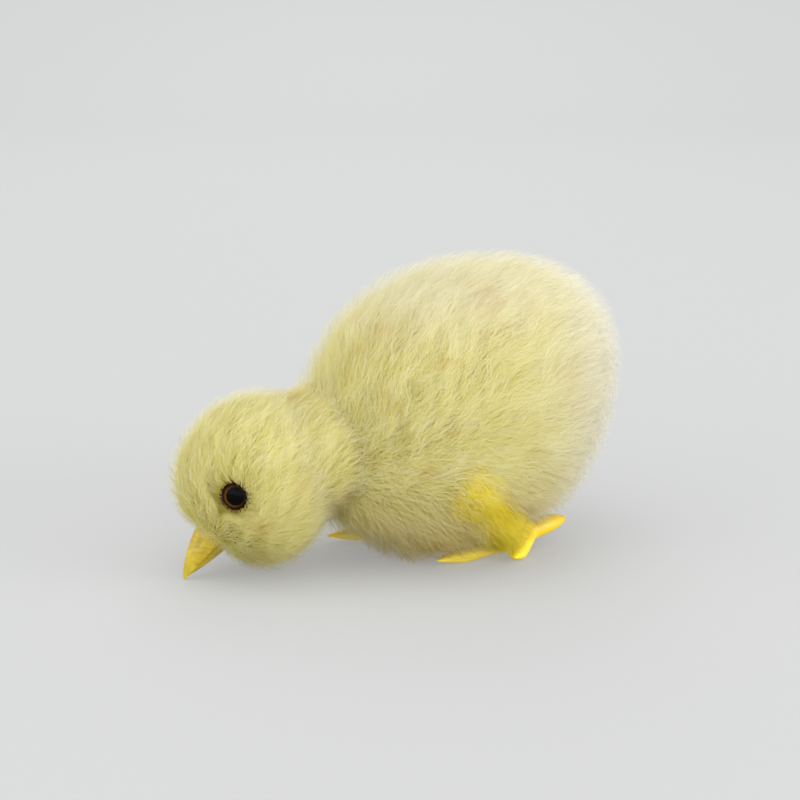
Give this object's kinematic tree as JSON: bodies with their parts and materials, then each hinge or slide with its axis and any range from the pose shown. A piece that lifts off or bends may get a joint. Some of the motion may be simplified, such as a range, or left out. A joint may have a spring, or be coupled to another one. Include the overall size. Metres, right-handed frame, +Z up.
{
  "type": "wind-up hopping chick",
  "caption": "Furry toy chick bent down to peck, with a clockwork motor inside that rocks its legs in short hops, wound by a knob on its far flank",
  "frame": {"origin": "on the floor under the middle of the toy's length and width", "axes": "+Z up; the chick faces -Y; its left side is +X"},
  "size_m": [0.0557, 0.0964, 0.0628],
  "materials": {
    "fur": "long soft pile, pale yellow with cream tips",
    "thigh_pile": "short dense pile, strong yellow",
    "casing": "moulded, plain",
    "beak": "smooth satin moulding",
    "foot": "smooth satin moulding",
    "eye_black": "polished",
    "eye_amber": "painted ring under a clear dome",
    "eye_clear": "clear polished dome",
    "frame": "moulded, plain",
    "gear": "moulded, plain",
    "steel": "turned",
    "spring_steel": "tempered strip"
  },
  "bodies": {
    "chick": {"body_fur": "fur", "head_fur": "fur", "thigh_patch_left": "thigh_pile", "thigh_patch_right": "thigh_pile", "body_shell_left": "casing", "body_shell_right": "casing", "head_shell_left": "casing", "head_shell_right": "casing", "neck_tube": "casing", "beak_upper": "beak", "beak_lower": "beak", "eye_cup_left": "eye_black", "pupil_left": "eye_black", "iris_left": "eye_amber", "eye_dome_left": "eye_clear", "eye_washer_left": "steel", "eye_cup_right": "eye_black", "pupil_right": "eye_black", "iris_right": "eye_amber", "eye_dome_right": "eye_clear", "eye_washer_right": "steel", "motor_plate_left": "frame", "motor_plate_right": "frame", "second_arbor": "steel", "crank_arbor": "steel", "plate_screw_1": "steel", "plate_screw_2": "steel", "plate_screw_3": "steel", "motor_screw_1": "steel", "motor_screw_2": "steel", "casing_screw_1": "steel", "casing_screw_2": "steel", "casing_screw_3": "steel", "casing_screw_4": "steel", "mainspring": "spring_steel"},
    "winder": {"winding_knob": "foot", "winding_arbor": "steel", "ratchet_wheel": "steel"},
    "great": {"great_wheel": "gear", "click": "spring_steel"},
    "second": {"second_wheel": "gear"},
    "crank": {"crank_wheel": "gear"},
    "legs": {"leg_left": "foot", "leg_right": "foot", "rocker": "gear", "leg_screw_left": "steel", "leg_screw_right": "steel"}
  },
  "joints": [
    {"name": "winder_turn", "type": "hinge", "parent": "chick", "child": "winder", "pos_m": [0, 0.01603, 0.0385], "axis": [1, 0, 0], "continuous": true},
    {"name": "great_wheel_turn", "type": "hinge", "parent": "chick", "child": "great", "pos_m": [0, 0.01603, 0.0385], "axis": [1, 0, 0], "continuous": true},
    {"name": "second_wheel_turn", "type": "hinge", "parent": "chick", "child": "second", "pos_m": [0, 0.00745, 0.03087], "axis": [1, 0, 0], "continuous": true},
    {"name": "crank_turn", "type": "hinge", "parent": "chick", "child": "crank", "pos_m": [0, 0.01033, 0.021], "axis": [1, 0, 0], "continuous": true},
    {"name": "hop", "type": "hinge", "parent": "chick", "child": "legs", "pos_m": [0, 0.02033, 0.0205], "axis": [1, 0, 0], "range_deg": [-2, 10]}
  ],
  "couplings": [
    {"joint": "great_wheel_turn", "follows": "winder_turn", "ratio": 1},
    {"joint": "second_wheel_turn", "follows": "winder_turn", "ratio": -3.75},
    {"joint": "crank_turn", "follows": "winder_turn", "ratio": 12.188}
  ]
}
